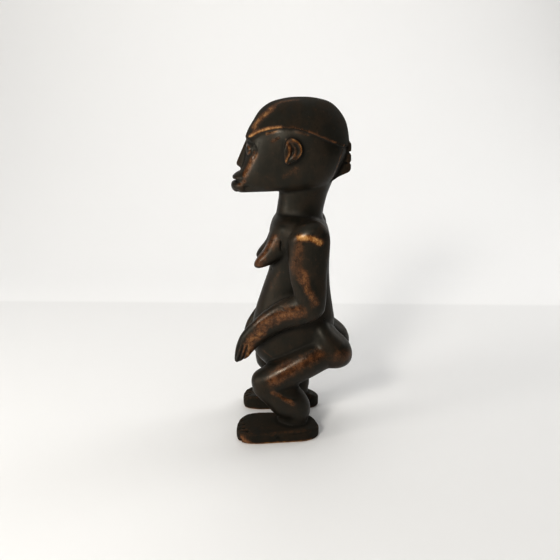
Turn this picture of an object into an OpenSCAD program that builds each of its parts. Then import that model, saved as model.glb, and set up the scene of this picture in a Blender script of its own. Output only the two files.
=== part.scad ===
// Standing female figure in carved wood, knees bent, hands low at the belly.
// Millimetres. +Z is up, the figure faces -Y, and its left side is +X.
// The origin is on the ground, at the middle of the figure's footprint box.
// The real figure is one block of wood. Each node here is one of the masses that the
// carver blocked out, and neighbours meet face to face, with no gap and no overlap.

/* [Figure] */
// Height from the soles to the crown
figure_height = 300; // [150:5:450]
// Distance from the middle plane to the middle of each foot
stance = 31; // [28:1:34]
// How far the right foot stands behind the left one
right_foot_lag = 1.5; // [0:0.5:4]

/* [Head] */
// Half width of the head at the ears
head_half_w = 28.5; // [25:0.5:31]
// How far the hair stands out from the skull
hair_step = 1.4; // [1:0.1:2.5]
// Half width of the hanging plait
plait_half_w = 12.5; // [9:0.5:16]
// Depth of the notches across the plait
plait_notch = 1.4; // [0.8:0.1:2]

/* [Body] */
// Half width of the neck
neck_half_w = 17.5; // [15:0.5:20]
// Half width of the chest under the arms
chest_half_w = 26; // [23:0.5:28]
// Half width of the belly
belly_half_w = 27; // [24:0.5:29]
// Distance from the middle plane to each nipple
nipple_x = 16; // [13:0.5:19]

/* [Arms] */
// Distance from the middle plane to the middle of the upper arm
arm_x = 32.5; // [31:0.5:35]
// Half thickness of the upper arm, across the figure
arm_half_t = 9.2; // [8:0.2:11]
// Distance from the middle plane to the middle of each hand
hand_x = 24.5; // [22:0.5:28]
// How many degrees the right forearm hangs below the left one
right_arm_drop = 4.5; // [0:0.5:7]
// Depth of the grooves between the fingers
finger_groove = 1.3; // [0.8:0.1:2]

/* [Feet] */
// Length of the foot
foot_length = 76; // [68:1:84]
// Width of the foot across the toes
foot_width = 33; // [28:1:36]
// Depth of the notches between the toes
toe_notch = 2.4; // [1.5:0.1:3.5]

/* [Hidden] */

design_height = 300;      // the height that the sections below are drawn at
k = figure_height / design_height;
centring = -0.2;          // moves the figure so that the footprint box is centred on Y
limb_sides = 22;          // corners of every section of a limb
body_sides = 30;          // and of the head and torso
steps = 3;                // rings between one section and the next
dome_angles = [28, 54, 78];
through = 200;            // longer than the figure is wide
ball_fn = 20;
lip_fn = 48;

dark_wood = [0.17, 0.11, 0.07];
warm_wood = [0.33, 0.18, 0.09];
worn_wood = [0.55, 0.36, 0.20];

// A section: centre, half width across the figure, half depth in the plane of the
// profile, squareness (2 is an ellipse), and how much narrower the front side is.
function section(x, y, z, half_w, half_d, square = 2, taper = 0) =
    [x, y, z, half_w, half_d, square, taper];

// A level section that runs from y_front to y_back
function level(z, y_front, y_back, half_w, square = 2, taper = 0) =
    section(0, (y_front + y_back) / 2, z, half_w, (y_back - y_front) / 2, square, taper);

function unit(v) = v / norm(v);
function centre(s) = [s[0], s[1], s[2]];

// Catmull-Rom curve from b to c
function curve(a, b, c, d, t) =
    0.5 * (2 * b + (c - a) * t + (2 * a - 5 * b + 4 * c - d) * t * t
        + (3 * b - a - 3 * c + d) * t * t * t);

function smoothed(s, n) = [
    for (i = [0 : len(s) - 2]) for (j = [0 : n - 1])
        curve(s[max(i - 1, 0)], s[i], s[i + 1], s[min(i + 2, len(s) - 1)], j / n),
    s[len(s) - 1]
];

// Rings that close an end of section s along direction out, as a dome of that height
function dome(s, out, height) = [
    for (a = dome_angles)
        let (c = centre(s) + out * height * sin(a))
        [c.x, c.y, c.z, s[3] * cos(a), s[4] * cos(a), s[5], s[6]]
];

function reversed(s) = [for (i = [len(s) - 1 : -1 : 0]) s[i]];

function power(v, n) = sign(v) * pow(abs(v), 2 / n);

// Corners of one section. along is the direction of the spine there.
function ring(s, along, sides) =
    let (u = unit([1, 0, 0] - along.x * along), v = cross(along, u))
    [for (i = [0 : sides - 1])
        let (a = 360 * i / sides, across = power(cos(a), s[5]), deep = power(sin(a), s[5]))
        centre(s) + u * s[3] * across * (1 + s[6] * deep) + v * s[4] * deep];

// A carved mass: sections joined by a smooth skin, each end closed by a dome.
// Upright masses keep every section level, the others turn with the limb.
module mass(sections, first_dome, last_dome, upright = false) {
    up = [0, 0, 1];
    sides = upright ? body_sides : limb_sides;
    body = smoothed(sections, steps);
    n = len(body);
    first_out = upright ? -up : unit(centre(body[0]) - centre(body[1]));
    last_out = upright ? up : unit(centre(body[n - 1]) - centre(body[n - 2]));
    rings = concat(reversed(dome(body[0], first_out, first_dome)), body,
        dome(body[n - 1], last_out, last_dome));
    m = len(rings);
    points = [for (i = [0 : m - 1]) each ring(rings[i], upright ? up
        : unit(centre(rings[min(i + 1, m - 1)]) - centre(rings[max(i - 1, 0)])), sides)];
    walls = [for (i = [0 : m - 2]) for (j = [0 : sides - 1])
        let (a = i * sides + j, b = i * sides + (j + 1) % sides)
        each [[a, a + sides, b + sides], [a, b + sides, b]]];
    polyhedron(points, concat(walls, [[for (j = [0 : sides - 1]) j]],
        [[for (j = [sides - 1 : -1 : 0]) (m - 1) * sides + j]]));
}

// Turns the result of the cuts inside it into one closed skin
module carved() resize([0, 0, 0]) children();

// Extrudes an outline of [y, z] points across the figure
module across(width) rotate([90, 0, 90]) linear_extrude(height = width, center = true) children();

module to_size() scale(k) translate([0, centring, 0]) children();
module right_side() mirror([1, 0, 0]) children();

// ---------------------------------------------------------------- head

// The jaw slopes down a little, from the throat to the chin
module jaw_underside() hull() for (x = [-1, 1]) {
    translate([x * 8, -46.6, 223.9]) sphere(r = 2.9, $fn = ball_fn);
    translate([x * 14, -16, 226.2]) sphere(r = 2.8, $fn = ball_fn);
}

// Head and hair, which stands proud of it
module skull(proud) {
    w = head_half_w + proud;
    mass([
        level(225.2, -49.4 - proud, 25 + proud, 0.62 * w, 2.3, 0.16),
        level(228, -50.8 - proud, 29.5 + proud, 0.74 * w, 2.5, 0.20),
        level(234, -49.2 - proud, 34 + proud, 0.84 * w, 2.7, 0.20),
        level(243, -44.6 - proud, 39.5 + proud, 0.93 * w, 2.8, 0.18),
        level(254, -41 - proud, 43.8 + proud, 0.99 * w, 2.8, 0.15),
        level(264, -40.6 - proud, 44.7 + proud, w, 2.6, 0.13),
        level(273, -38.2 - proud, 43.7 + proud, 0.97 * w, 2.4, 0.10),
        level(282, -32.6 - proud, 41 + proud, 0.88 * w, 2.3, 0.07),
        level(289.5, -27.6 - proud, 35.7 + proud, 0.75 * w, 2.2, 0.04),
        level(294.8, -20.8 - proud, 30.2 + proud, 0.59 * w, 2.1, 0.02),
        level(297.4, -14.6 - proud, 24.8 + proud, 0.44 * w, 2),
        level(298.6, -8.6 - proud, 19 + proud, 0.30 * w, 2)
    ], 2.2, 0.05 + proud, true);
    jaw_underside();
}

hairline = [
    [-60, 266.5], [-40, 267.2], [-29, 272.6], [-19, 275.8], [-7, 277.2], [5, 276],
    [19, 271], [33, 264.5], [43, 261.5], [60, 260.5]
];

module above_hairline() across(through)
    polygon(concat(smoothed(hairline, steps), [[60, 320], [-60, 320]]));

module below_hairline() across(through)
    polygon(concat(smoothed(hairline, steps), [[60, 150], [-60, 150]]));

eye_x = 12.2;
eye_y = -37.4;
eye_z = 258;
eye_turn = 17;            // how far each eye looks outwards

module eye_socket() translate([eye_x, eye_y - 4.6, eye_z + 0.6]) rotate([0, 0, eye_turn])
    resize([17, 9, 13.5]) sphere(r = 8, $fn = ball_fn);

module head() color(dark_wood) carved() difference() {
    intersection() {
        skull(0);
        below_hairline();
    }
    eye_socket();
    right_side() eye_socket();
}

module coiffure_cap() color(dark_wood) carved() intersection() {
    skull(hair_step);
    above_hairline();
}

plait_back = 47.6;
plait_profile = [
    [20, 264.5], [45.6, 264.5], [47.4, 263],
    [plait_back, 256.6], [plait_back - plait_notch, 255.6], [plait_back, 254.6],
    [plait_back + 0.2, 248.2], [plait_back - plait_notch, 247.2], [plait_back + 0.2, 246.2],
    [plait_back + 0.2, 241.6], [46.6, 239.8], [37.2, 235.6], [31, 231.2], [20, 231.2]
];

module plait_block() intersection() {
    across(2 * plait_half_w) polygon(plait_profile);
    translate([0, 0, 220]) linear_extrude(height = 50) hull()
        for (x = [-1, 1]) {
            translate([x * (plait_half_w - 4), plait_back - 3.6]) circle(r = 4, $fn = ball_fn);
            translate([x * (plait_half_w - 1), 20]) circle(r = 1, $fn = ball_fn);
        }
}

module hanging_plait() color(dark_wood) carved() difference() {
    plait_block();
    skull(0);
    intersection() {
        skull(hair_step);
        above_hairline();
    }
}

module nose_tip() hull() {
    translate([0, -46.8, 245.4]) sphere(r = 2.7, $fn = ball_fn);
    for (x = [-1, 1]) translate([x * 3.6, -43.4, 244.2]) sphere(r = 2.7, $fn = ball_fn);
}

module nose() color(dark_wood) carved() difference() {
    hull() {
        translate([0, -39.4, 264]) sphere(r = 2.1, $fn = ball_fn);
        translate([0, -40.4, 256.5]) sphere(r = 2.2, $fn = ball_fn);
        nose_tip();
    }
    skull(0);
}

mouth_axis = -40.8;       // the lips curve about a vertical line here
lip_turn = 164;           // the angle that the lips take up round it

upper_lip_profile = [
    [5, 239.4], [6.4, 239.4], [8.8, 238], [11.4, 236], [12.4, 234.4], [12.2, 232.8],
    [9.8, 231.7], [5, 231.5]
];
lower_lip_profile = [
    [5, 231], [9.6, 230.9], [12.6, 230.1], [13.6, 228.4], [13.6, 225.8], [12.3, 223.2],
    [10.6, 221.6], [5, 222.2]
];

module lip(profile) translate([0, mouth_axis, 0]) rotate([0, 0, 270 - lip_turn / 2])
    rotate_extrude(angle = lip_turn, $fn = lip_fn) polygon(profile);

module upper_lip() color(dark_wood) carved() difference() {
    lip(upper_lip_profile);
    skull(0);
    nose_tip();
}

module lower_lip() color(dark_wood) carved() difference() {
    lip(lower_lip_profile);
    skull(0);
}

module eye() color(warm_wood) carved() difference() {
    translate([eye_x, eye_y, eye_z]) rotate([0, 0, eye_turn])
        resize([10.6, 6, 8]) sphere(r = 5, $fn = ball_fn);
    difference() {
        skull(0);
        eye_socket();
    }
}

ear_outline = [
    [-6.8, 264], [-4.6, 268], [-1, 268.6], [3, 266.8], [6, 262.6], [6.4, 257.6],
    [3.4, 253], [-1.6, 250], [-6, 248.4], [-7.6, 252], [-8.2, 258.4]
];
ear_groove = [
    [-5.6, 268.5], [-3.4, 266.6], [-0.2, 262], [0.4, 258.6], [-1.2, 255], [-5, 250.6],
    [-6.4, 249.4], [-5.4, 252.4], [-3, 256], [-2, 259], [-2.8, 262.4], [-5.6, 266]
];
ear_reach = 5;            // how far the ear stands out from the head

module ear() color(worn_wood) carved() difference() {
    translate([head_half_w - 5 + (ear_reach + 5) / 2, 0, 0]) across(ear_reach + 5)
        polygon(smoothed(concat(ear_outline, [ear_outline[0]]), steps));
    translate([head_half_w + ear_reach + 1, 0, 0]) across(2 * (ear_reach - 1))
        polygon(ear_groove);
    skull(0);
}

// ---------------------------------------------------------------- neck, torso

module neck_mass() mass([
    level(198, -17, 25.6, neck_half_w + 1.5, 2.2),
    level(203, -15.4, 25.4, neck_half_w + 0.8, 2.2),
    level(213, -14.1, 27.2, neck_half_w, 2.2),
    level(222, -12.2, 29.6, neck_half_w + 0.8, 2.2),
    level(232, -10, 34, neck_half_w + 2, 2.2)
], 2, 2, true);

module torso_mass() mass([
    level(61.5, -24.5, 20, 0.74 * belly_half_w, 2.2),
    level(68, -32, 26, 0.90 * belly_half_w, 2.3),
    level(77, -37, 32, belly_half_w, 2.3),
    level(90, -38.6, 35, 1.02 * belly_half_w, 2.3),
    level(104, -37, 38.2, 0.98 * belly_half_w, 2.3),
    level(119, -33, 36.4, 0.87 * belly_half_w, 2.3),
    level(136, -27.4, 33.8, 0.78 * belly_half_w, 2.3),
    level(155, -21.4, 32.4, 0.86 * chest_half_w, 2.3),
    level(172, -20.6, 32.4, 1.05 * chest_half_w, 2.4),
    level(184, -21.8, 31.8, 1.24 * chest_half_w, 2.4, 0.1),
    level(192, -20.6, 29.8, 1.28 * chest_half_w, 2.4, 0.1),
    level(198, -18.6, 25.4, 1.10 * chest_half_w, 2.3),
    level(202.5, -15.4, 22.2, 0.80 * chest_half_w, 2.1)
], 2, 2, true);

module neck() color(dark_wood) carved() difference() {
    neck_mass();
    skull(0);
    torso_mass();
}

module torso() color(dark_wood) torso_mass();

module breast_mass() mass([
    section(0.80 * nipple_x, -2, 185, 12, 17.5),
    section(0.86 * nipple_x, -10.6, 178, 12.6, 13.6),
    section(0.94 * nipple_x, -19, 169.4, 11.2, 8.6),
    section(nipple_x, -27.6, 162.8, 7.8, 5.9),
    section(1.02 * nipple_x, -33, 158.8, 3.8, 3.3)
], 2, 2.2);

module breast() color(warm_wood) carved() difference() {
    breast_mass();
    torso_mass();
}

// ---------------------------------------------------------------- arms

module upper_arm_mass() mass([
    section(arm_x - 3.5, 11, 196.6, 0.82 * arm_half_t, 12.8),
    section(arm_x - 1, 13, 190, 1.04 * arm_half_t, 17, 2.2),
    section(arm_x - 0.5, 13.4, 181, 1.03 * arm_half_t, 17.6, 2.2),
    section(arm_x, 12.4, 168, 0.98 * arm_half_t, 17.2, 2.2),
    section(arm_x + 1, 13, 152, 0.93 * arm_half_t, 15.8, 2.2),
    section(arm_x + 2, 15.2, 138, 0.96 * arm_half_t, 13.6, 2.2),
    section(arm_x + 2, 16.4, 125, 0.94 * arm_half_t, 11.4, 2.2)
], 4, 8);

elbow = [0, 16, 124];

// Swings a forearm or hand downwards about the elbow
module hanging(drop) translate(elbow) rotate([drop, 0, 0]) translate(-elbow) children();

module forearm_mass() mass([
    section(arm_x + 2, 16, 126, 0.90 * arm_half_t, 11.4, 2.1),
    section(arm_x + 1, 4, 123.6, 0.94 * arm_half_t, 14.2, 2.1),
    section(arm_x - 2, -9, 118, 0.90 * arm_half_t, 13.4, 2.1),
    section(hand_x + 3, -23.6, 107.8, 0.80 * arm_half_t, 11.6, 2.1),
    section(hand_x + 1, -33, 98.8, 0.72 * arm_half_t, 10, 2.1)
], 6, 3);

module hand_mass() mass([
    section(hand_x + 1, -32, 99.8, 0.72 * arm_half_t, 10.2, 2.1),
    section(hand_x, -38.4, 92.4, 0.72 * arm_half_t, 9.5, 2.2),
    section(hand_x - 0.5, -43.2, 84.4, 0.66 * arm_half_t, 8, 2.4),
    section(hand_x - 1, -46.4, 76, 0.54 * arm_half_t, 6.2, 2.6),
    section(hand_x - 1.4, -48.2, 71, 0.42 * arm_half_t, 5, 2.6)
], 3, 1.5);

module upper_arm() color(warm_wood) carved() difference() {
    upper_arm_mass();
    torso_mass();
    breast_mass();
}

module forearm(drop) color(warm_wood) carved() difference() {
    hanging(drop) forearm_mass();
    upper_arm_mass();
    torso_mass();
}

fingertip = [0, -51.6, 69.8];
fingertip_slant = 30;     // the fingertips rise towards the thumb side

// Everything past the slanting line of the fingertips
module past_fingertips() translate(fingertip) rotate([fingertip_slant, 0, 0])
    translate([-50, -10, -20]) cube([100, 40, 20]);

finger_middle = [hand_x + 0.62 * arm_half_t, -47.4, 78.4];
finger_gaps = [-3.1, 0.5, 4.1];
finger_length = 17;
finger_lean = 17;
groove_side = finger_groove * sqrt(2);

// Grooves that part the fingers, on the outer face of the hand
module finger_grooves() for (gap = finger_gaps)
    translate(finger_middle + [0, gap, 0]) rotate([-finger_lean, 0, 0]) rotate([0, 0, 45])
        cube([groove_side, groove_side, finger_length], center = true);

module hand(drop) color(worn_wood) carved() difference() {
    hanging(drop) difference() {
        hand_mass();
        forearm_mass();
        past_fingertips();
        finger_grooves();
    }
    torso_mass();
}

// ---------------------------------------------------------------- hips, legs

module buttock_mass() mass([
    section(9, 22, 118, 6.5, 7),
    section(12, 23.4, 104, 11.5, 9.6),
    section(15, 29.4, 90.4, 15.6, 13.4),
    section(16.5, 37.4, 79.4, 16.4, 15.8, 2.1),
    section(17, 38.8, 73.8, 15.2, 15.4, 2.1)
], 6, 10.4);

module thigh_mass() mass([
    section(18, 28, 79, 15, 14.6),
    section(22, 14, 72.8, 15.4, 15.6, 2.1),
    section(26, -2, 64.8, 14.6, 14.8, 2.1),
    section(29.5, -17.6, 57.4, 13.4, 13.8, 2.1),
    section(stance - 1, -27, 53.4, 12.2, 12.8, 2.1)
], 8, 10);

module lower_leg_mass(lag) mass([
    section(stance - 1, -26.4, 53, 11.6, 12.8, 2.1),
    section(stance - 1, -14.4, 43.6, 12.6, 14.8, 2.1),
    section(stance - 0.5, -5.6, 36.6, 13.2, 17, 2.1),
    section(stance - 2, 1.6, 28, 11.6, 15.6, 2.1, -0.10),
    section(stance - 4.4, 0.8 + 0.6 * lag, 19, 10.4, 13.4, 2.1, -0.20),
    section(stance - 6, -0.4 + lag, 9, 10.4, 14, 2.1, -0.24)
], 8, 2);

module buttock() color(warm_wood) carved() difference() {
    intersection() {
        buttock_mass();
        translate([0, -100, 0]) cube([100, 200, 200]);
    }
    torso_mass();
}

module thigh() color(warm_wood) carved() difference() {
    thigh_mass();
    torso_mass();
    buttock_mass();
}

module lower_leg(lag) color(warm_wood) carved() difference() {
    lower_leg_mass(lag);
    thigh_mass();
    translate([0, lag, 0]) foot_block();
}

// ---------------------------------------------------------------- feet

foot_front = -51.4;
// Plan of the foot: share of the width from its middle line, share of the length from the toes
foot_plan = [
    [-0.42, 0.10], [-0.47, 0.22], [-0.45, 0.42], [-0.40, 0.66], [-0.37, 0.84], [-0.27, 0.95],
    [-0.06, 1.00], [0.14, 0.96], [0.29, 0.86], [0.36, 0.72], [0.42, 0.50], [0.49, 0.24],
    [0.44, 0.10], [0.26, 0.02], [-0.04, 0.00], [-0.32, 0.03]
];
// Height of the toes and the outer edge along the foot, as a share of its length
foot_edge = [
    [-0.02, 8.4], [0.02, 10.4], [0.08, 12], [0.5, 12.4], [0.92, 12.4], [1.0, 10.4], [1.03, 8]
];
edge_slope = 4;           // how far they fall towards the outer side
// Height of the instep along its ridge
foot_crest = [
    [0.02, 8], [0.05, 11], [0.12, 13], [0.28, 14], [0.50, 15], [0.72, 16],
    [0.86, 15.6], [0.95, 13], [0.99, 9]
];
crest_slope = 12;         // how far it falls towards the outer side
ridge_inset = 9;          // how far the ridge lies inside the foot's middle line

function foot_point(p) = [stance + p[0] * foot_width, foot_front + p[1] * foot_length];
function height_point(p) = [foot_front + p[0] * foot_length, p[1]];
foot_closed = concat(foot_plan, [foot_plan[0]]);

// Everything below a line of heights, tilted outwards
module below(heights, slope) translate([stance - ridge_inset, 0, 0]) rotate([0, slope, 0])
    across(through) polygon(concat([[-60, -60]], [for (p = heights) height_point(p)],
        [[60, -60]]));

// Where the toes part: share of the width from the middle line, and the turn of the notch
toe_gaps = [[-0.24, -8], [-0.02, 0], [0.18, 14], [0.35, 32]];
toe_line_curve = 0.11;    // how far the front of the foot falls back, per degree of that turn
toe_gap_half_w = 1;
toe_notch_plan = [
    [-toe_gap_half_w, -3], [-toe_gap_half_w, 0], [0, toe_notch], [toe_gap_half_w, 0],
    [toe_gap_half_w, -3]
];

module foot_block() intersection() {
    linear_extrude(height = 30) polygon(smoothed([for (p = foot_closed) foot_point(p)], steps));
    union() {
        below(foot_edge, edge_slope);
        below(foot_crest, crest_slope);
    }
}

module toe_notches() for (gap = toe_gaps)
    translate([stance + gap[0] * foot_width, foot_front + toe_line_curve * abs(gap[1]), -1])
        rotate([0, 0, gap[1]]) linear_extrude(height = 30) polygon(toe_notch_plan);

module foot() color(worn_wood) carved() difference() {
    foot_block();
    toe_notches();
}

module right_foot_place() right_side() translate([0, right_foot_lag, 0]) children();

// ---------------------------------------------------------------- nodes

to_size() head();
to_size() coiffure_cap();
to_size() hanging_plait();
to_size() nose();
to_size() upper_lip();
to_size() lower_lip();
to_size() eye();  // left_eye
to_size() right_side() eye();  // right_eye
to_size() ear();  // left_ear
to_size() right_side() ear();  // right_ear
to_size() neck();
to_size() torso();
to_size() breast();  // left_breast
to_size() right_side() breast();  // right_breast
to_size() upper_arm();  // left_upper_arm
to_size() right_side() upper_arm();  // right_upper_arm
to_size() forearm(0);  // left_forearm
to_size() right_side() forearm(right_arm_drop);  // right_forearm
to_size() hand(0);  // left_hand
to_size() right_side() hand(right_arm_drop);  // right_hand
to_size() buttock();  // left_buttock
to_size() right_side() buttock();  // right_buttock
to_size() thigh();  // left_thigh
to_size() right_side() thigh();  // right_thigh
to_size() lower_leg(0);  // left_lower_leg
to_size() right_side() lower_leg(right_foot_lag);  // right_lower_leg
to_size() foot();  // left_foot
to_size() right_foot_place() foot();  // right_foot
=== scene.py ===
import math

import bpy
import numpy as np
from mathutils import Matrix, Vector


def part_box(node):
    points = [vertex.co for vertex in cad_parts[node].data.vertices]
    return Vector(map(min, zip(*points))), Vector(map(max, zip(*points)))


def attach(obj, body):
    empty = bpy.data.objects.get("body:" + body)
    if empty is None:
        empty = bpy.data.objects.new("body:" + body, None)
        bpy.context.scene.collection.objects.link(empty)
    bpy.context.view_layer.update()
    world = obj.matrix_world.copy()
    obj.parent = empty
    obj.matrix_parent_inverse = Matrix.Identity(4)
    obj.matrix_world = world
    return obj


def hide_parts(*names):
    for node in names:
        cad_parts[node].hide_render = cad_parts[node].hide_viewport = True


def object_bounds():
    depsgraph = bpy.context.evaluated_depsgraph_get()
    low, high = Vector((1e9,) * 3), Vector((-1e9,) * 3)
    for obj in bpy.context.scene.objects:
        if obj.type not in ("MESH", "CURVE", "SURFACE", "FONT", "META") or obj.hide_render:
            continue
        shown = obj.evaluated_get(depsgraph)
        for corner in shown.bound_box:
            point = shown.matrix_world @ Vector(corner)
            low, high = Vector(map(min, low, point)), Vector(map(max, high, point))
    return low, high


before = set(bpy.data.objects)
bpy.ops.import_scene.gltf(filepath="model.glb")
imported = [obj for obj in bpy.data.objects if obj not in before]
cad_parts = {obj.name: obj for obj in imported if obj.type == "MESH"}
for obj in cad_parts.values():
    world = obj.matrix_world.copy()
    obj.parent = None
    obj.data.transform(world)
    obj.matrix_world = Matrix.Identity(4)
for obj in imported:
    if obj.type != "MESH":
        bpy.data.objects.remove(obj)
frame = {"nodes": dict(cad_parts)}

# Looks for a carved wooden figure. The CAD masses are laid on a grid as one distance field,
# their creases and edges are softened as a carver's knife and years of handling leave them,
# the fine cuts are added, and the field is skinned again as one closed piece per CAD node.

import openvdb
from mathutils import Vector

MM = 0.001
cad_low, cad_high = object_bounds()
ORIGIN = np.zeros(3)
DOWN, UP = np.array([0, 0, -1.0]), np.array([0, 0, 1.0])
INWARD = np.array([-1.0, 0, 0])       # from the left side towards the middle plane
BACKWARD = np.array([0, 1.0, 0])
MIRROR = np.array([-1.0, 1, 1])

# ------------------------------------------------------------------ the grid

STEP = 0.6 * MM
MARGIN = 9 * MM
FAR = 4 * MM                          # fields are cut off this far from the skin
FIRST = tuple(math.floor((v - MARGIN) / STEP) for v in cad_low)
LAST = tuple(math.ceil((v + MARGIN) / STEP) for v in cad_high)
SHAPE = tuple(b - a + 1 for a, b in zip(FIRST, LAST))
AXES = [((np.arange(n) + a) * STEP).astype(np.float32) for n, a in zip(SHAPE, FIRST)]


def distance_to(points, triangles=None, quads=None, reach=FAR):
    """Distance from every grid point to a closed mesh, negative inside it."""
    level_set = openvdb.FloatGrid.createLevelSetFromPolygons(
        points, triangles=triangles, quads=quads,
        transform=openvdb.createLinearTransform(voxelSize=STEP), halfWidth=reach / STEP)
    field = np.empty(SHAPE, np.float32)
    level_set.copyToArray(field, ijk=FIRST)
    return field


def node_distance(name):
    mesh = frame["nodes"][name].data
    mesh.calc_loop_triangles()
    points = np.empty(len(mesh.vertices) * 3, np.float32)
    mesh.vertices.foreach_get("co", points)
    corners = np.empty(len(mesh.loop_triangles) * 3, np.int32)
    mesh.loop_triangles.foreach_get("vertices", corners)
    return distance_to(points.reshape(-1, 3), corners.reshape(-1, 3).astype(np.uint32))


def filled(field, radius, reach=FAR):
    """The same body with its creases filled to a radius, as a true distance."""
    grid = openvdb.FloatGrid(1.0)
    grid.copyFromArray(field, ijk=FIRST)
    grid.transform = openvdb.createLinearTransform(voxelSize=STEP)
    points, _, quads = grid.convertToPolygons(isovalue=radius, adaptivity=0)
    grown = distance_to(points, quads=quads, reach=radius + reach)
    return np.clip(grown + radius, -reach, reach)


def blurred(field, sigma):
    """Gaussian blur, one axis after the other."""
    reach = max(1, math.ceil(2.6 * sigma / STEP))
    shares = np.exp(-0.5 * (np.arange(reach + 1) * STEP / sigma) ** 2)
    shares /= shares[0] + 2 * shares[1:].sum()
    for axis in range(3):
        edges = [(reach, reach) if a == axis else (0, 0) for a in range(3)]
        padded = np.moveaxis(np.pad(field, edges, mode="edge"), axis, 0)
        count = SHAPE[axis]
        total = padded[reach:reach + count] * np.float32(shares[0])
        for i in range(1, reach + 1):
            pair = padded[reach - i:reach - i + count] + padded[reach + i:reach + i + count]
            total += pair * np.float32(shares[i])
        field = np.moveaxis(total, 0, axis)
    return np.ascontiguousarray(field)


def eased(x):
    x = np.clip(x, 0, 1)
    return x * x * (3 - 2 * x)


def near(field, reach):
    """1 inside a body, fading to 0 at that distance from it."""
    return eased(1 - field / reach)


def sample(field, points):
    """Values of the field between the grid points."""
    place = points / STEP - np.array(FIRST)
    corner = np.clip(np.floor(place).astype(int), 0, np.array(SHAPE) - 2)
    part = place - corner
    value = np.zeros(len(points))
    for offset in np.ndindex(2, 2, 2):
        share = np.prod(np.where(offset, part, 1 - part), axis=1)
        i, j, k = (corner + offset).T
        value += share * field[i, j, k]
    return value


def rise_across(field, points):
    """How much the field grows along each axis over two grid steps."""
    return np.stack([sample(field, points + step) - sample(field, points - step)
                     for step in np.eye(3) * STEP], axis=1)


def slope(field, points):
    """Direction in which the field grows at each point."""
    rise = rise_across(field, points)
    return rise / np.maximum(np.linalg.norm(rise, axis=1, keepdims=True), 1e-12)


# ------------------------------------------------------------------ lines on the figure

def at(node, out, back, up):
    """A point of a node's box. out runs from the middle plane to the outside, or from the
    right to the left on a node that both sides share; back and up run from 0 to 1."""
    low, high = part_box(node)
    return np.array([low.x + (high.x - low.x) * out, low.y + (high.y - low.y) * back,
                     low.z + (high.z - low.z) * up])


def line(node, *places):
    return np.array([at(node, *place) for place in places])


def flowing(points, pieces=6):
    """A smooth curve through the points."""
    ends = [2 * points[0] - points[1], *points, 2 * points[-1] - points[-2]]
    curve = []
    for a, b, c, d in zip(ends, ends[1:], ends[2:], ends[3:]):
        for t in np.arange(pieces) / pieces:
            curve.append(0.5 * (2 * b + (c - a) * t + (2 * a - 5 * b + 4 * c - d) * t ** 2
                                + (3 * b - a - 3 * c + d) * t ** 3))
    return np.array(curve + [points[-1]])


def landed(field, points, towards, start=8 * MM):
    """Each point moved along a direction, from outside, until it meets the skin."""
    towards = np.broadcast_to(towards, points.shape)
    steps = np.arange(-start, start, STEP / 3)
    found = points.copy()
    for i, (point, way) in enumerate(zip(points, towards)):
        inside = sample(field, point + steps[:, None] * way) < 0
        if inside.any():
            found[i] = point + steps[np.argmax(inside)] * way
    return found


def around(points, reach):
    """The part of the grid that holds the points, with some room."""
    low, high = points.min(0) - reach, points.max(0) + reach
    return tuple(slice(max(0, math.floor(low[a] / STEP) - FIRST[a]),
                       min(SHAPE[a], math.ceil(high[a] / STEP) - FIRST[a] + 1)) for a in range(3))


def line_distance(points, radii, spots):
    """Distance from the spots to a tube that follows the points."""
    nearest = None
    if len(points) == 1:
        points, radii = np.repeat(points, 2, 0), np.repeat(radii, 2)
    for a, b, ra, rb in zip(points, points[1:], radii, radii[1:]):
        span = b - a
        length = max(float(span @ span), 1e-12)
        t = np.clip(sum((spots[i] - a[i]) * (span[i] / length) for i in range(3)), 0, 1)
        square = sum((spots[i] - a[i] - t * span[i]) ** 2 for i in range(3))
        tube = np.sqrt(square) - (ra + (rb - ra) * t)
        nearest = tube if nearest is None else np.minimum(nearest, tube)
    return nearest


def tube_on_grid(points, radii, reach):
    part = around(points, reach + max(radii))
    x, y, z = (AXES[a][part[a]] for a in range(3))
    return part, line_distance(points, radii, (x[:, None, None], y[None, :, None], z[None, None, :]))


def paint(weights, points, reach):
    """Raises the weights towards 1 round a line."""
    part, tube = tube_on_grid(points, np.zeros(len(points)), reach)
    weights[part] = np.maximum(weights[part], eased(1 - tube / reach))


def smooth_min(a, b, width):
    overlap = np.clip(width - np.abs(a - b), 0, None) / width
    return np.minimum(a, b) - overlap * overlap * width / 4


def taper(count, ends):
    """1 along the middle of a line and 0 at its ends. ends is the share that fades."""
    t = np.linspace(0, 1, count)
    return np.sqrt(eased(np.minimum(t, 1 - t) / max(ends, 1e-6)))


def cut(field, points, towards, width, depth, ends=0.3, blend=0.5 * MM, start=8 * MM):
    """Cuts a groove into the skin along a line."""
    points = landed(field, points, towards, start)
    radius = (width ** 2 / 4 + depth ** 2) / (2 * depth)
    lift = radius - depth * taper(len(points), ends)
    centres = points - np.broadcast_to(towards, points.shape) * lift[:, None]
    part, tube = tube_on_grid(centres, np.full(len(points), radius), 3 * blend)
    field[part] = -smooth_min(-field[part], tube, blend)


def raised(field, points, towards, width, height, ends=0.3, blend=0.5 * MM, start=8 * MM):
    """Leaves a ridge standing on the skin along a line."""
    points = landed(field, points, towards, start)
    radius = (width ** 2 / 4 + height ** 2) / (2 * height)
    sink = radius - height * taper(len(points), ends)
    centres = points + np.broadcast_to(towards, points.shape) * sink[:, None]
    part, tube = tube_on_grid(centres, np.full(len(points), radius), 3 * blend)
    field[part] = smooth_min(field[part], tube, blend)


# ------------------------------------------------------------------ the sculpted body

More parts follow.
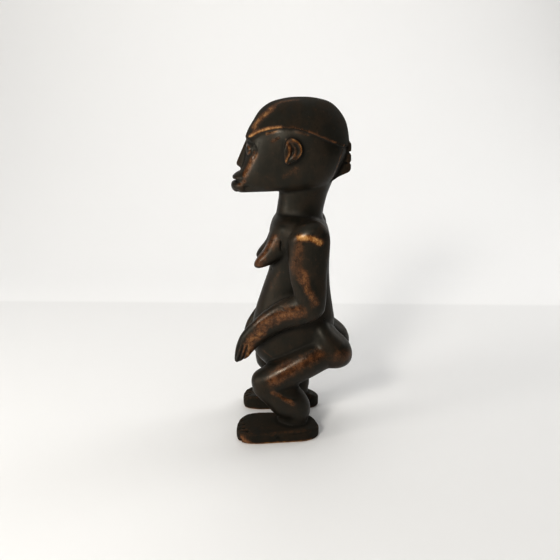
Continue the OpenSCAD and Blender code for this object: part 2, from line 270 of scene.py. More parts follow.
MATTE = ("coiffure_cap", "hanging_plait", "left_foot", "right_foot")   # never polished
DETAILS = ("nose", "upper_lip", "lower_lip", "left_eye", "right_eye", "left_ear", "right_ear",
           "hanging_plait")
FINE = ("left_hand", "right_hand", "left_foot", "right_foot")
HAIR_STEP = 1.4 * MM                  # how far the hair stands out from the skull
RIGHT_ARM_DROP = math.radians(4.5)    # the right forearm hangs lower than the left one
ELBOW = np.array([0, 15.8, 124]) * MM
RIGHT_FOOT_LAG = np.array([0, 1.5, 0]) * MM


def on_right_arm(points):
    """The mirror image, swung down about the elbow."""
    x, y, z = ((points - ELBOW) * MIRROR).T
    c, s = math.cos(RIGHT_ARM_DROP), math.sin(RIGHT_ARM_DROP)
    return np.stack([x, c * y - s * z, s * y + c * z], 1) + ELBOW


def gathered_masses():
    """The union of the masses and of the details, who owns each place, and what else the
    later steps need."""
    masses = np.full(SHAPE, FAR, np.float32)
    details = masses.copy()
    closest = masses.copy()
    second = masses.copy()
    fine = masses.copy()
    owner = np.zeros(SHAPE, np.uint8)
    kept = {}
    for index, name in enumerate(frame["nodes"]):
        field = node_distance(name)
        closer = field < closest
        owner[closer] = index
        if name in DETAILS:
            np.minimum(details, field, out=details)
        else:
            second = np.minimum(second, np.maximum(field, masses))
            np.minimum(masses, field, out=masses)
        if name in FINE:
            np.minimum(fine, field, out=fine)
        if name in ("head", "coiffure_cap"):
            kept[name] = field
        np.minimum(closest, field, out=closest)
    return masses, details, second, fine, owner, kept


def soft_places():
    """Where the wood flows from one mass to the next: shoulders, elbows, wrists, hips, knees,
    the nape and the tops of the breasts."""
    weights = np.zeros(SHAPE, np.float32)
    lines = [
        (line("left_upper_arm", (0.15, 0.0, 0.96), (0.2, 0.5, 0.97), (0.15, 0.98, 0.93)), 11),
        (line("left_upper_arm", (0.1, 1.0, 0.93), (0.1, 1.02, 0.7)), 8),
        (line("left_forearm", (0.9, 0.98, 0.8), (1.0, 0.8, 0.62)), 11),
        (line("left_hand", (0.6, 0.7, 0.85), (1.0, 0.6, 0.9)), 10),
        (line("left_buttock", (1.0, 0.0, 0.65), (0.7, 0.2, 1.0), (0.9, 0.3, 0.4)), 13),
        (line("left_thigh", (0.95, 0.85, 0.95), (1.0, 0.7, 0.6), (0.5, 0.9, 0.4)), 11),
        (line("left_thigh", (0.4, 0.0, 0.25), (1.0, 0.05, 0.2)), 10),
        (line("left_breast", (0.5, 0.7, 1.0), (0.9, 1.0, 0.95)), 9),
        (line("left_lower_leg", (1.0, 0.75, 0.1), (0.8, 1.0, 0.1)), 5),
        (line("neck", (0.8, 1.0, 0.85), (0.5, 1.03, 0.85)), 10),
    ]
    for points, reach in lines:
        paint(weights, points, reach * MM)
        paint(weights, points * MIRROR, reach * MM)
    return weights


def sharpened_hairline(field, kept, sigma):
    """Turns the blurred edge of the hair back into a crisp step with a groove under it."""
    along = blurred(kept["head"] - kept["coiffure_cap"], 0.9 * MM)
    crisp = np.tanh(along / (0.35 * MM)) - np.tanh(along / (1.25 * sigma))
    close = near(np.minimum(kept["head"], kept["coiffure_cap"]) - MM, 3 * MM)
    field -= 0.5 * HAIR_STEP * crisp * close * near(np.abs(along) - 2 * MM, 2 * MM)
    groove = np.hypot(field, along + 0.9 * MM) - 0.95 * MM
    return -smooth_min(-field, groove + 3 * MM * (1 - close), 0.5 * MM)


def carve_face(field):
    centre = at("left_eye", 0.5, 0.5, 0.52)
    turn = math.radians(17)
    across = np.array([math.cos(turn), math.sin(turn), 0])
    into = np.array([-math.sin(turn), math.cos(turn), 0])
    lid_half_width, lid_half_height, slit_half_width = 6.1 * MM, 3.9 * MM, 4.6
    almond = 0.25                     # 0 gives round corners of the eye, more gives sharp ones
    angles = np.linspace(0, 2 * math.pi, 40)
    lid = centre + np.outer(lid_half_width * np.cos(angles), across)
    lid += np.outer(lid_half_height * np.sin(angles) * np.abs(np.sin(angles)) ** almond, UP)
    slit = centre + np.outer(np.linspace(-slit_half_width, slit_half_width, 12) * MM, across)
    brow = line("head", (0.56, 0.05, 0.745), (0.68, 0.06, 0.765), (0.86, 0.12, 0.735))
    rim = line("head", (0.84, 0.10, 0.76), (0.87, 0.13, 0.66), (0.84, 0.13, 0.55))
    nostril = line("nose", (0.73, 0.42, 0.02), (0.76, 0.5, 0.02))
    for side in (np.ones(3), MIRROR):
        raised(field, lid * side, into * side, 1.6 * MM, 0.8 * MM, ends=0.01)
        cut(field, slit * side, into * side, 0.9 * MM, 0.55 * MM, ends=0.4, blend=0.3 * MM)
        cut(field, flowing(brow) * side, BACKWARD, 2.2 * MM, 0.5 * MM, ends=0.5)
        cut(field, flowing(rim) * side, into * side, 1.8 * MM, 0.6 * MM, ends=0.5)
        cut(field, nostril * side, UP, 2 * MM, 1.2 * MM, ends=0.01, start=3 * MM)
    angles = np.linspace(-1.0, 1.0, 21)
    around_mouth = np.stack([np.sin(angles), -np.cos(angles), 0 * angles], 1)
    mouth_radius = 13 * MM
    gap = at("upper_lip", 0.5, 1.0, 0) + np.array([0, 3, -0.2]) * MM
    cut(field, gap + mouth_radius * around_mouth, -around_mouth, 1.8 * MM, 1.7 * MM, ends=0.15)
    corner = line("head", (0.72, 0.09, 0.10), (0.85, 0.14, 0.13))
    for side in (np.ones(3), MIRROR):
        cut(field, flowing(corner) * side, INWARD * side, 1.5 * MM, 0.6 * MM, ends=0.6)
    philtrum = line("upper_lip", (0.5, 0.25, 1.05), (0.5, 0.08, 0.75))
    cut(field, flowing(philtrum), BACKWARD, 1.8 * MM, 0.4 * MM, ends=0.5)


def carve_ears_and_plait(field):
    back_leaf = line("left_ear", (1, 0.45, 0.86), (1, 0.68, 0.72), (1, 0.78, 0.5), (1, 0.6, 0.3))
    for side in (np.ones(3), MIRROR):
        cut(field, flowing(back_leaf) * side, INWARD * side, 2.4 * MM, 0.7 * MM, ends=0.5)
    for place in (0.22, 0.5, 0.78):
        strand = line("hanging_plait", (place, 1, 0.96), (place, 1, 0.5), (place, 0.93, 0.28))
        cut(field, flowing(strand), -BACKWARD, 1.3 * MM, 0.7 * MM, ends=0.15)
    for height in (0.48, 0.73):
        notch = line("hanging_plait", (0, 1, height), (1, 1, height))
        cut(field, flowing(notch), -BACKWARD, 2.0 * MM, 1.3 * MM, ends=0.01)


def carve_body(field):
    spine = line("torso", (0.5, 0.95, 0.93), (0.5, 0.93, 0.7), (0.5, 0.95, 0.45), (0.5, 1, 0.3))
    cut(field, flowing(spine), -BACKWARD, 8 * MM, 1.1 * MM, ends=0.45, blend=2 * MM)
    navel = line("torso", (0.49, 0.01, 0.235), (0.51, 0.01, 0.235))
    cut(field, navel, BACKWARD, 3.4 * MM, 1.2 * MM, ends=0.01, blend=1.2 * MM)
    throat = line("neck", (0.98, 0.30, 0.17), (1.0, 0.50, 0.15), (0.98, 0.62, 0.18))
    breast_fold = line("left_breast", (0.15, 0.62, 0.05), (0.5, 0.55, 0.0), (0.95, 0.75, 0.1))
    chest = line("left_upper_arm", (0.2, 0.0, 0.62), (0.1, -0.02, 0.75), (0.12, 0.03, 0.86))
    blade = line("left_upper_arm", (0.1, 0.98, 0.55), (0.0, 1.0, 0.7), (0.12, 0.94, 0.86))
    bend = line("left_forearm", (0.98, 0.30, 0.86), (0.95, 0.45, 0.82), (0.98, 0.58, 0.72))
    pit = line("left_lower_leg", (0.9, 0.42, 0.92), (0.98, 0.6, 0.83), (0.9, 0.74, 0.8))
    ankle = line("left_lower_leg", (1, 0.5, 0.06), (1.02, 0.75, 0.02), (0.9, 0.98, 0.05))
    for side in (np.ones(3), MIRROR):
        cut(field, flowing(throat) * side, INWARD * side, 0.8 * MM, 0.25 * MM)
        cut(field, flowing(breast_fold) * side, UP, 1.2 * MM, 0.4 * MM, start=3 * MM)
        cut(field, flowing(chest) * side, BACKWARD, 1.6 * MM, 0.6 * MM, start=5 * MM)
        cut(field, flowing(blade) * side, -BACKWARD, 1.8 * MM, 0.6 * MM, start=5 * MM)
        cut(field, flowing(bend) * side, INWARD * side, 1.3 * MM, 0.5 * MM, start=5 * MM)
        cut(field, flowing(pit) * side, INWARD * side, 1.3 * MM, 0.5 * MM, start=6 * MM)
        cut(field, flowing(ankle) * side, INWARD * side, 1.4 * MM, 0.4 * MM, start=6 * MM)


def carve_hands(field):
    for gap in (0.07, 0.20, 0.325):
        groove = flowing(line("left_hand", (1, gap - 0.08, -0.02), (1, gap + 0.05, 0.33),
                              (1, gap + 0.13, 0.56)))
        for place, towards in ((groove, INWARD), (on_right_arm(groove), -INWARD)):
            cut(field, place, towards, 1.7 * MM, 1.4 * MM, ends=0.2, blend=0.35 * MM)


def carve_feet(field):
    toes = ((0.28, -0.14), (0.495, 0), (0.69, 0.25), (0.86, 0.62))
    for out, lean in toes:
        tip = 0.11 * lean * lean + 0.02
        across_top = line("left_foot", (out, tip - 0.02, 0.5), (out - 0.1 * lean, tip + 0.10, 0.6))
        down_front = line("left_foot", (out, tip, 0.62), (out, tip, 0.0))
        for side, lag in ((np.ones(3), ORIGIN), (MIRROR, RIGHT_FOOT_LAG)):
            cut(field, flowing(across_top) * side + lag, DOWN, 1.5 * MM, 0.9 * MM, ends=0.35)
            cut(field, down_front * side + lag, BACKWARD, 1.9 * MM, 1.5 * MM, ends=0.01)
    chip = line("left_foot", (1, 0.47, 0.16), (1, 0.505, 0.40), (1, 0.54, 0.16))
    cut(field, chip, INWARD, 1.4 * MM, 0.7 * MM, ends=0.1, blend=0.2 * MM)


def wander(spacing, seed):
    """Smooth random values over the grid, about as many millimetres apart as the spacing."""
    counts = [math.ceil(n * STEP / (spacing * MM)) + 4 for n in SHAPE]
    coarse = np.random.default_rng(seed).standard_normal(counts).astype(np.float32)
    for axis in range(3):
        place = np.arange(SHAPE[axis]) * STEP / (spacing * MM) + 1
        low = place.astype(int)
        part = (place - low).astype(np.float32).reshape([-1 if a == axis else 1 for a in range(3)])
        values = [np.take(coarse, low + i, axis=axis) for i in (-1, 0, 1, 2)]
        shares = ((1 - part) ** 3, 3 * part ** 3 - 6 * part ** 2 + 4,
                  -3 * part ** 3 + 3 * part ** 2 + 3 * part + 1, part ** 3)
        coarse = sum(v * s for v, s in zip(values, shares)) / 6
    return coarse


def sculpted():
    """The distance field of the whole figure, and the node that owns each place."""
    masses, details, second, fine, owner, kept = gathered_masses()
    sigma, detail_sigma = 2.2 * MM, 0.9 * MM
    tight_radius, wide_radius, closing = 1.1 * MM, 5 * MM, 0.05 * MM
    soft = soft_places()
    tight = filled(masses, tight_radius)
    wide = filled(filled(masses, closing, reach=6.5 * MM), wide_radius)
    body = tight + soft * (wide - tight)
    seam = near(second - 0.5 * MM, 3 * MM) * (1 - soft)
    seam *= 1 - near(np.abs(kept["coiffure_cap"]) - MM, 2 * MM)
    detail = np.maximum(seam, near(fine, 4 * MM))
    smooth = blurred(body, sigma)
    body = smooth + detail * (blurred(body, detail_sigma) - smooth)
    body = sharpened_hairline(body, kept, sigma)
    body = filled(smooth_min(body, blurred(details, 0.5 * MM), 0.6 * MM), 0.5 * MM)
    for carve in (carve_face, carve_ears_and_plait, carve_body, carve_hands, carve_feet):
        carve(body)
    body += (0.16 * wander(13, 3) + 0.07 * wander(5, 4)) * MM
    ground = -AXES[2][None, None, :]
    body = np.maximum(body, np.broadcast_to(ground, SHAPE))
    return np.clip(filled(blurred(body, 0.4 * MM), 0.0), -FAR, FAR), owner


# ------------------------------------------------------------------ skin, one piece per node

def untangled(labels):
    """Fills the places where a piece would touch itself only along an edge."""
    for _ in range(3):
        for a, b in ((0, 1), (0, 2), (1, 2)):
            view = np.moveaxis(labels, (a, b), (0, 1))
            quads = view[:-1, :-1], view[1:, 1:], view[1:, :-1], view[:-1, 1:]
            for one, two, three, four in (quads, quads[2:] + quads[:2]):
                split = (one == two) & (one > 0) & (three != one) & (four != one)
                for other in (three, four):
                    spots = split & (other > 0)
                    other[spots] = one[spots]
                    split &= ~spots
    return labels


def skinned(field, owner):
    """Points of the skin and, for each node, its quads. Neighbours share the same points."""
    labels = untangled(np.where(field < 0, owner + 1, 0).astype(np.uint8))
    corners = [labels[i:SHAPE[0] - 1 + i, j:SHAPE[1] - 1 + j, k:SHAPE[2] - 1 + k]
               for i, j, k in np.ndindex(2, 2, 2)]
    mixed = np.minimum.reduce(corners) != np.maximum.reduce(corners)
    cells = np.argwhere(mixed)
    number = np.full(mixed.shape, -1, np.int32)
    number[mixed] = np.arange(len(cells))

    offsets = np.array(list(np.ndindex(2, 2, 2)))
    values = np.stack([field[tuple((cells + o).T)] for o in offsets], 1).astype(float)
    names = np.stack([labels[tuple((cells + o).T)] for o in offsets], 1)
    place = {True: np.zeros((len(cells), 3)), False: np.zeros((len(cells), 3))}
    count = {True: np.zeros(len(cells)), False: np.zeros(len(cells))}
    for a in range(8):
        for b in range(a + 1, 8):
            if np.abs(offsets[b] - offsets[a]).sum() != 1:
                continue
            for outer in (True, False):
                if outer:
                    crossing = (names[:, a] == 0) != (names[:, b] == 0)
                    t = values[:, a] / np.where(crossing, values[:, a] - values[:, b], 1)
                    t = np.clip(t, 0, 1)
                else:
                    crossing = names[:, a] != names[:, b]
                    t = np.full(len(cells), 0.5)
                point = offsets[a] + t[:, None] * (offsets[b] - offsets[a])
                place[outer][crossing] += point[crossing]
                count[outer] += crossing
    on_skin = count[True] > 0
    centre = np.where(on_skin[:, None], place[True], place[False])
    centre /= np.where(on_skin, count[True], count[False])[:, None]
    points = (cells + centre + np.array(FIRST)) * STEP
    for _ in range(2):
        skin = points[on_skin]
        rise = rise_across(field, skin) / (2 * STEP)
        gap = sample(field, skin) / np.maximum((rise ** 2).sum(1), 0.25)
        points[on_skin] -= np.clip(gap, -0.4 * STEP, 0.4 * STEP)[:, None] * rise

    quads = {index: [] for index in range(len(frame["nodes"]))}
    for axis in range(3):
        u, v = (axis + 1) % 3, (axis + 2) % 3
        here = np.moveaxis(labels, axis, 0)
        found = np.argwhere(np.moveaxis(here[:-1] != here[1:], 0, axis))
        ahead = found.copy()
        ahead[:, axis] += 1
        first, last = labels[tuple(found.T)], labels[tuple(ahead.T)]
        ring = []
        for du, dv in ((-1, -1), (0, -1), (0, 0), (-1, 0)):
            cell = found.copy()
            cell[:, u] += du
            cell[:, v] += dv
            ring.append(number[tuple(cell.T)])
        ring = np.stack(ring, 1)
        for index in quads:
            quads[index].append(ring[first == index + 1])
            quads[index].append(ring[last == index + 1][:, ::-1])
    return points, on_skin, {index: np.concatenate(q) for index, q in quads.items()}


# ------------------------------------------------------------------ wear, and painted shade in the creases

# Where hands have rubbed the stain away: node, reach in millimetres, strength of the brown,
# strength of the bright wood, and the line. The places follow what scratch scripts worked out
# and are rounded, so this table is not one chosen by hand.
RUBBED = (
    ("left_upper_arm", 4, 1.0, 1.0, (0.95, 0.25, 0.85), (0.95, 0.5, 0.85), (0.95, 0.75, 0.8)),
    ("left_upper_arm", 7, 0.6, 0.2, (0.95, 0.25, 0.75), (0.95, 0.2, 0.55), (0.95, 0.35, 0.45)),
    ("left_upper_arm", 5, 0.8, 0.4, (0.95, 0.35, 0.5), (0.95, 0.45, 0.35), (0.95, 0.65, 0.2)),
    ("left_forearm", 8, 0.85, 0.35, (0.9, 0.75, 0.75), (0.9, 0.5, 0.65), (0.9, 0.2, 0.4)),
    ("left_hand", 6, 0.85, 0.45, (0.95, 0.9, 0.9), (0.95, 0.55, 0.65), (0.95, 0.4, 0.3)),
    ("left_hand", 3, 0.9, 0.7, (0.95, 0.5, 0.45), (0.95, 0.45, 0.15)),
    ("left_thigh", 9, 0.7, 0.15, (0.95, 0.85, 0.85), (0.95, 0.7, 0.75), (0.95, 0.45, 0.6)),
    ("left_thigh", 9, 0.8, 0.25, (0.95, 0.45, 0.6), (0.95, 0.3, 0.4)),
    ("left_buttock", 8, 0.5, 0.1, (0.8, 0.55, 0.35), (0.8, 0.85, 0.35)),
    ("left_lower_leg", 3, 0.8, 0.4, (0.95, 0.35, 0.95), (0.95, 0.5, 0.85), (0.95, 0.7, 0.7)),
    ("head", 4, 0.95, 0.45, (0.85, 0.2, 0.6), (0.85, 0.15, 0.45), (0.8, 0.1, 0.3)),
    ("head", 2, 0.7, 0.5, (0.95, 0.3, 0.9), (0.95, 0.4, 0.95)),
    ("head", 2.5, 0.7, 0.4, (1.0, 0.35, 0.8), (1.0, 0.4, 0.85)),
    ("head", 2.5, 0.6, 0.3, (1.0, 0.55, 0.95), (1.0, 0.65, 0.9)),
    ("head", 4.5, 0.4, 0, (1.0, 0.55, 0.4), (1.0, 0.45, 0.3)),
    ("head", 2.5, 0.7, 0.3, (0.6, 0.05, 0.15), (0.75, 0.1, 0.2)),
    ("coiffure_cap", 2.2, 1.0, 0.75, (0.85, 0.05, 0.2), (0.9, 0.2, 0.35), (0.95, 0.35, 0.4)),
    ("coiffure_cap", 1.3, 0.5, 0.25, (0.95, 0.35, 0.4), (1.0, 0.55, 0.35), (0.95, 0.85, 0.1)),
    ("coiffure_cap", 5.5, 0.7, 0.55, (0.9, 0.05, 0.3), (0.85, 0.15, 0.55), (0.8, 0.25, 0.75)),
    ("coiffure_cap", 3.5, 0.5, 0.35, (0.8, 0.25, 0.75), (0.75, 0.35, 0.9), (0.7, 0.5, 0.95)),
    ("left_ear", 1.6, 0.9, 0.7, (0.9, 0.4, 1.0), (0.9, 0.85, 0.8), (0.9, 0.95, 0.45),
     (0.9, 0.65, 0.15), (0.9, 0.2, 0.0)),
    ("left_ear", 1.2, 0.8, 0.6, (0.9, 0.1, 0.95), (0.9, 0.3, 0.5), (0.9, 0.1, 0.1)),
    ("left_ear", 4, 0.6, 0.3, (0.9, 0.35, 0.75), (0.9, 0.5, 0.4)),
    ("left_eye", 0.9, 0.6, 0.45, (0.4, 0.2, 0.95), (0.75, 0.4, 0.95), (0.95, 0.8, 0.5)),
    ("left_eye", 0.9, 0.6, 0.45, (0.4, 0.2, 0.05), (0.75, 0.4, 0.05), (0.95, 0.8, 0.4)),
    ("hanging_plait", 0.7, 0.8, 0.5, (1.0, 0.6, 0.95), (1.0, 0.35, 0.5), (1.0, 0.1, 0.1)),
    ("left_breast", 6, 0.75, 0.25, (0.8, 0.7, 0.85), (0.75, 0.45, 0.6), (0.7, 0.2, 0.25)),
    ("torso", 3, 0.4, 0.1, (0.85, 0.35, 0.65), (0.85, 0.25, 0.55)),
    # This short line on the lower belly paints the highlight of a carved ridge as lighter, browner
    # wood: a painted highlight.
    ("torso", 1.5, 0.5, 0.2, (0.85, 0.15, 0.15), (0.9, 0.3, 0.1)),
    ("left_foot", 4.5, 0.8, 0.4, (0.85, 0.1, 0.25), (0.9, 0.15, 0.05)),
    ("left_foot", 1.3, 0.9, 0.8, (1.0, 0.15, 0.05), (1.0, 0.4, 0.05), (0.95, 0.6, 0.05),
     (0.85, 0.9, 0.05)),
)


def rubbed(field, points):
    """How far the stain is worn at each point, and how bright the wood is there."""
    brown, bright = np.zeros(len(points)), np.zeros(len(points))
    for node, reach, strong, light, *places in RUBBED:
        path = landed(field, flowing(line(node, *places), 4), INWARD, start=9 * MM)
        for side, share in ((np.ones(3), 1.0), (MIRROR, 0.85)):
            away = line_distance(path * side, np.zeros(len(path)), points.T)
            fade = eased(1 - away / (1.4 * reach * MM)) * share
            brown = 1 - (1 - brown) * (1 - strong * fade)
            bright = np.maximum(bright, light * fade ** 1.5)
    sole = eased(1 - points[:, 2] / (1.8 * MM))
    return np.maximum(brown, sole), np.maximum(bright, 0.75 * sole)


def worn_edges_and_crease_shade(field, points):
    """Wear of the edges that stand out, and depth of the creases, from the skin's own shape. The
    crease depth is used to paint shade into the creases.
    """
    fine = sample(blurred(field, 1.0 * MM), points) / MM
    broad = sample(blurred(field, 2.6 * MM), points) / MM
    edge = eased(fine / 0.16) * 0.6 + eased(broad / 0.6) * 0.4
    # How deep each crease is; the material paints shade into the creases with it.
    crease_shade = np.maximum(eased(-fine / 0.14), eased(-(broad + 0.05) / 0.5))
    return edge, crease_shade


# ------------------------------------------------------------------ materials

class Nodes:
    """Short calls that add shader nodes to a material."""

    def __init__(self, name):
        self.material = bpy.data.materials.new(name)
        self.material.use_nodes = True
        self.tree = self.material.node_tree
        self.shader = self.tree.nodes["Principled BSDF"]

    def add(self, kind, **inputs):
        node = self.tree.nodes.new(kind)
        for name, value in inputs.items():
            self.put(node.inputs[name.replace("_", " ")], value)
        return node

    def put(self, socket, value):
        if isinstance(value, bpy.types.NodeSocket):
            self.tree.links.new(value, socket)
        else:
            socket.default_value = value

    def math(self, operation, a, b=0.0, clamp=False):
        node = self.tree.nodes.new("ShaderNodeMath")
        node.operation, node.use_clamp = operation, clamp
        self.put(node.inputs[0], a)
        self.put(node.inputs[1], b)
        return node.outputs[0]

    def around_zero(self, value, amount):
        """Noise that swings both ways by up to half the amount."""
        return self.math("MULTIPLY", self.math("SUBTRACT", value, 0.5), amount)

    def spread(self, value, low, high, to_low=0.0, to_high=1.0):
        """The value's run from low to high, moved smoothly to another run."""
        node = self.add("ShaderNodeMapRange", From_Min=low, From_Max=high, To_Min=to_low,
                        To_Max=to_high)
        node.interpolation_type = "SMOOTHSTEP"
        self.put(node.inputs["Value"], value)
        return node.outputs["Result"]

    def mixed(self, share, a, b):
        node = self.tree.nodes.new("ShaderNodeMix")
        node.data_type = "RGBA"
        self.put(node.inputs[0], share)
        self.put(node.inputs[6], a)
        self.put(node.inputs[7], b)
        return node.outputs[2]

    def noise(self, scale, stretch=(1, 1, 1), detail=4.0, turn=(0, 0, 0), rough=0.55):
        """Noise in the figure's own frame. scale is features per metre."""
        place = self.tree.nodes.new("ShaderNodeTexCoord").outputs["Object"]
        mapping = self.add("ShaderNodeMapping", Vector=place, Scale=stretch, Rotation=turn)
        return self.add("ShaderNodeTexNoise", Vector=mapping.outputs[0], Scale=scale,
                        Detail=detail, Roughness=rough).outputs["Fac"]

    def attribute(self, name):
        node = self.tree.nodes.new("ShaderNodeAttribute")
        node.attribute_name = name
        return node.outputs["Fac"]


def stained_wood():
    """Dark stained hardwood: near-black skin with a greenish cast, red-brown where hands have
    thinned it, and golden bare wood where it is rubbed through. The creases get painted shade,
    darkened towards black."""
    n = Nodes("stained_wood")
    grain = n.noise(620, stretch=(1, 1, 0.16), detail=5, rough=0.6)
    pores = n.noise(1500, stretch=(1, 1, 0.16), detail=2)
    clouds = n.noise(75, stretch=(1, 1, 0.7), detail=4)
    blots = n.noise(210, detail=5, rough=0.6)
    specks = n.noise(900, detail=3, rough=0.6)

    edge, crease_shade = n.attribute("edge"), n.attribute("crease_shade")
    brown, bright = n.attribute("brown"), n.attribute("bright")

    ragged = n.math("ADD", n.around_zero(blots, 0.45), n.around_zero(specks, 0.55))
    mottle = n.math("ADD", n.math("MULTIPLY", blots, 0.6), n.math("MULTIPLY", specks, 0.25))
    mottle = n.math("ADD", mottle, n.math("MULTIPLY", grain, 0.15))
    worn = n.math("ADD", brown, n.math("MULTIPLY", edge, 0.28))
    worn = n.math("ADD", n.math("ADD", worn, ragged), n.around_zero(clouds, 0.4))
    thin = n.spread(worn, 0.15, 0.95)
    through = n.spread(n.math("ADD", bright, n.math("MULTIPLY", ragged, 0.8)), 0.3, 1.0)

    skin = n.mixed(n.spread(clouds, 0.38, 0.64), (0.0066, 0.0060, 0.0036, 1),
                   (0.0165, 0.0108, 0.0058, 1))
    skin = n.mixed(n.spread(blots, 0.55, 0.78), skin, (0.030, 0.0165, 0.0085, 1))
    skin = n.mixed(n.spread(pores, 0.60, 0.74), skin, (0.003, 0.0025, 0.0016, 1))
    thinned = n.mixed(n.spread(mottle, 0.40, 0.62), (0.050, 0.0200, 0.0080, 1),
                      (0.140, 0.057, 0.0210, 1))
    bare = n.mixed(n.spread(mottle, 0.40, 0.60), (0.22, 0.088, 0.024, 1), (0.52, 0.29, 0.11, 1))
    colour = n.mixed(thin, skin, thinned)
    colour = n.mixed(through, colour, bare)
    # Painted shade: the creases are darkened towards near-black to stand in for the shade that falls
    # in them.
    colour = n.mixed(n.math("MULTIPLY", crease_shade, 0.85), colour, (0.004, 0.0034, 0.0022, 1))
    n.put(n.shader.inputs["Base Color"], colour)

    scratches = [n.spread(n.noise(620, stretch=(1, 1, 0.03), detail=1, turn=turn), 0.70, 0.76)
                 for turn in ((0.5, 0.3, 0.2), (-0.4, 0.9, 1.1), (1.3, -0.2, 0.6))]
    scratch = n.math("MAXIMUM", n.math("MAXIMUM", scratches[0], scratches[1]), scratches[2])

    gloss = n.spread(n.math("ADD", clouds, n.math("MULTIPLY", blots, 0.6)), 0.5, 1.05, 0.38, 0.54)
    gloss = n.math("SUBTRACT", gloss, n.math("MULTIPLY", brown, 0.3))
    gloss = n.math("ADD", gloss, n.math("MULTIPLY", crease_shade, 0.2))
    gloss = n.math("ADD", gloss, n.math("MULTIPLY", n.attribute("matte"), 0.4))
    n.put(n.shader.inputs["Roughness"], n.math("ADD", gloss, n.math("MULTIPLY", scratch, 0.1)))
    n.shader.inputs["Specular IOR Level"].default_value = 0.31
    n.shader.inputs["Specular Tint"].default_value = (1.0, 0.93, 0.80, 1)

    relief = n.math("ADD", n.math("MULTIPLY", grain, 0.25), n.math("MULTIPLY", blots, 0.6))
    relief = n.math("ADD", relief, n.math("MULTIPLY", specks, 0.25))
    relief = n.math("SUBTRACT", relief, n.math("MULTIPLY", n.spread(pores, 0.60, 0.72), 0.3))
    relief = n.math("SUBTRACT", relief, n.math("MULTIPLY", scratch, 0.35))
    bump = n.add("ShaderNodeBump", Strength=0.25, Distance=0.4 * MM, Height=relief)
    n.put(n.shader.inputs["Normal"], bump.outputs[0])
    return n.material


# ------------------------------------------------------------------ pieces

def make_piece(name, points, normals, quads, values, material):
    """One closed mesh that stands for a CAD node."""
    used, corners = np.unique(quads, return_inverse=True)
    mesh = bpy.data.meshes.new(name)
    mesh.vertices.add(len(used))
    mesh.vertices.foreach_set("co", points[used].astype(np.float32).ravel())
    mesh.loops.add(quads.size)
    mesh.loops.foreach_set("vertex_index", corners.ravel().astype(np.int32))
    mesh.polygons.add(len(quads))
    mesh.polygons.foreach_set("loop_start", np.arange(0, quads.size, 4, dtype=np.int32))
    mesh.polygons.foreach_set("use_smooth", np.ones(len(quads), bool))
    mesh.update(calc_edges=True)
    for key, value in values.items():
        layer = mesh.attributes.new(key, "FLOAT", "POINT")
        layer.data.foreach_set("value", value[used].astype(np.float32))
    mesh.normals_split_custom_set_from_vertices(normals[used])
    mesh.materials.append(material)
    piece = bpy.data.objects.new("carved_" + name, mesh)
    bpy.context.scene.collection.objects.link(piece)
    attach(piece, "root")
    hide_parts(name)
    return piece


def make_figure():
    field, owner = sculpted()
    points, on_skin, quads = skinned(field, owner)
    normals = np.where(on_skin[:, None], slope(field, points), 0)
    edge, crease_shade = worn_edges_and_crease_shade(field, points)
    brown, bright = rubbed(field, points)
    values = {"edge": edge, "crease_shade": crease_shade, "brown": brown, "bright": bright}
    wood = stained_wood()
    for index, name in enumerate(frame["nodes"]):
        values["matte"] = np.full(len(points), float(name in MATTE))
        make_piece(name, points, normals, quads[index], values, wood)


# ------------------------------------------------------------------ stage, lights, camera

TABLE_EDGE = -0.333                   # where the table ends behind the figure

def pale_table():
    """A pale table, and past its far edge a slightly paler backdrop."""
    n = Nodes("pale_table")
    place = n.tree.nodes.new("ShaderNodeTexCoord").outputs["Object"]
    x = n.add("ShaderNodeSeparateXYZ", Vector=place).outputs["X"]
    beyond = n.spread(x, TABLE_EDGE + 6 * MM, TABLE_EDGE - 6 * MM)
    n.put(n.shader.inputs["Base Color"],
          n.mixed(beyond, (0.80, 0.80, 0.795, 1), (0.86, 0.86, 0.855, 1)))
    n.shader.inputs["Roughness"].default_value = 0.6
    return n.material


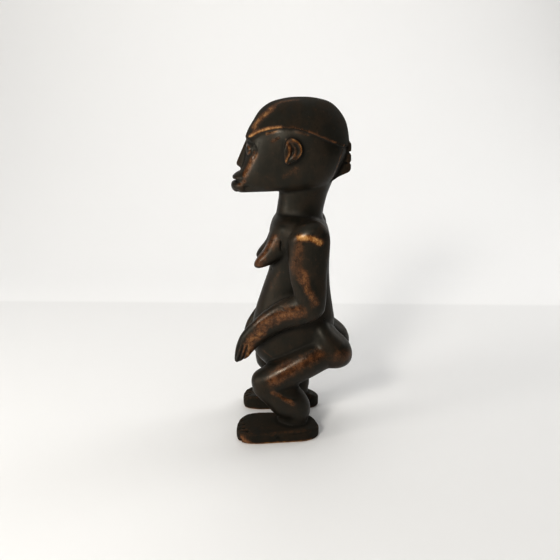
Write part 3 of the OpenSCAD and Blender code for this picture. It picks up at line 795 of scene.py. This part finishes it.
def make_stage():
    """A table that sweeps up into a backdrop, clear of the figure on every side."""
    rise, near_x, half_width, height = TABLE_EDGE - 0.12, 2.5, 3.0, 2.5
    radius, steps = 0.6, 24
    profile = [(near_x, 0)]
    for step in range(steps + 1):
        angle = math.pi / 2 * step / steps
        profile.append((rise - radius * math.sin(angle), radius - radius * math.cos(angle)))
    profile.append((rise - radius, height))
    mesh = bpy.data.meshes.new("stage")
    corners = [(x, y, z) for x, z in profile for y in (-half_width, half_width)]
    faces = [(2 * i, 2 * i + 1, 2 * i + 3, 2 * i + 2) for i in range(len(profile) - 1)]
    mesh.from_pydata(corners, [], faces)
    mesh.polygons.foreach_set("use_smooth", [True] * len(faces))
    mesh.materials.append(pale_table())
    stage = bpy.data.objects.new("stage", mesh)
    bpy.context.scene.collection.objects.link(stage)


WARM, NEUTRAL = (1.0, 0.965, 0.91), (1.0, 0.995, 0.99)


def area_light(name, place, size, power, colour, target):
    light = bpy.data.lights.new(name, "AREA")
    light.shape = "DISK"
    light.size, light.energy, light.color = size, power, colour
    lamp = bpy.data.objects.new(name, light)
    lamp.location = place
    lamp.rotation_euler = (target - Vector(place)).to_track_quat("-Z", "Y").to_euler()
    bpy.context.scene.collection.objects.link(lamp)


def make_lights():
    middle = (cad_low + cad_high) / 2
    area_light("key", (0.92, -0.42, 0.7), 0.24, 7.4, WARM, middle)
    area_light("window", (0.45, -1.0, 0.36), 0.34, 4.6, WARM, middle)
    area_light("behind", (-0.45, 0.9, 0.7), 0.5, 3, NEUTRAL, middle)
    area_light("top", (0.0, -0.2, 1.9), 2.6, 14.2, NEUTRAL, middle)
    area_light("backdrop", (-0.25, 0.0, 1.5), 1.2, 6.8, NEUTRAL, Vector((-1.0, -0.3, 1.1)))
    world = bpy.data.worlds.new("room")
    world.use_nodes = True
    world.node_tree.nodes["Background"].inputs["Color"].default_value = (1, 1, 1, 1)
    world.node_tree.nodes["Background"].inputs["Strength"].default_value = 0.12
    bpy.context.scene.world = world
    view = bpy.context.scene.view_settings
    view.view_transform = "Standard"
    view.gamma = 0.86                 # deepens the dark tones, as a camera's contrast does


def make_camera():
    distance, sideways, height = 0.5348, -0.0001, 0.3096
    heading, pitch = math.radians(1.3), math.radians(17.5)
    look = Vector((-math.cos(heading) * math.cos(pitch), -math.sin(heading) * math.cos(pitch),
                   -math.sin(pitch)))
    data = bpy.data.cameras.new("camera")
    data.lens = 39.86
    data.clip_start = 0.01
    camera = bpy.data.objects.new("camera", data)
    camera.location = (distance, sideways, height)
    camera.rotation_euler = look.to_track_quat("-Z", "Y").to_euler()
    bpy.context.scene.collection.objects.link(camera)
    bpy.context.scene.camera = camera


make_figure()
make_stage()
make_lights()
make_camera()

bpy.context.view_layer.update()
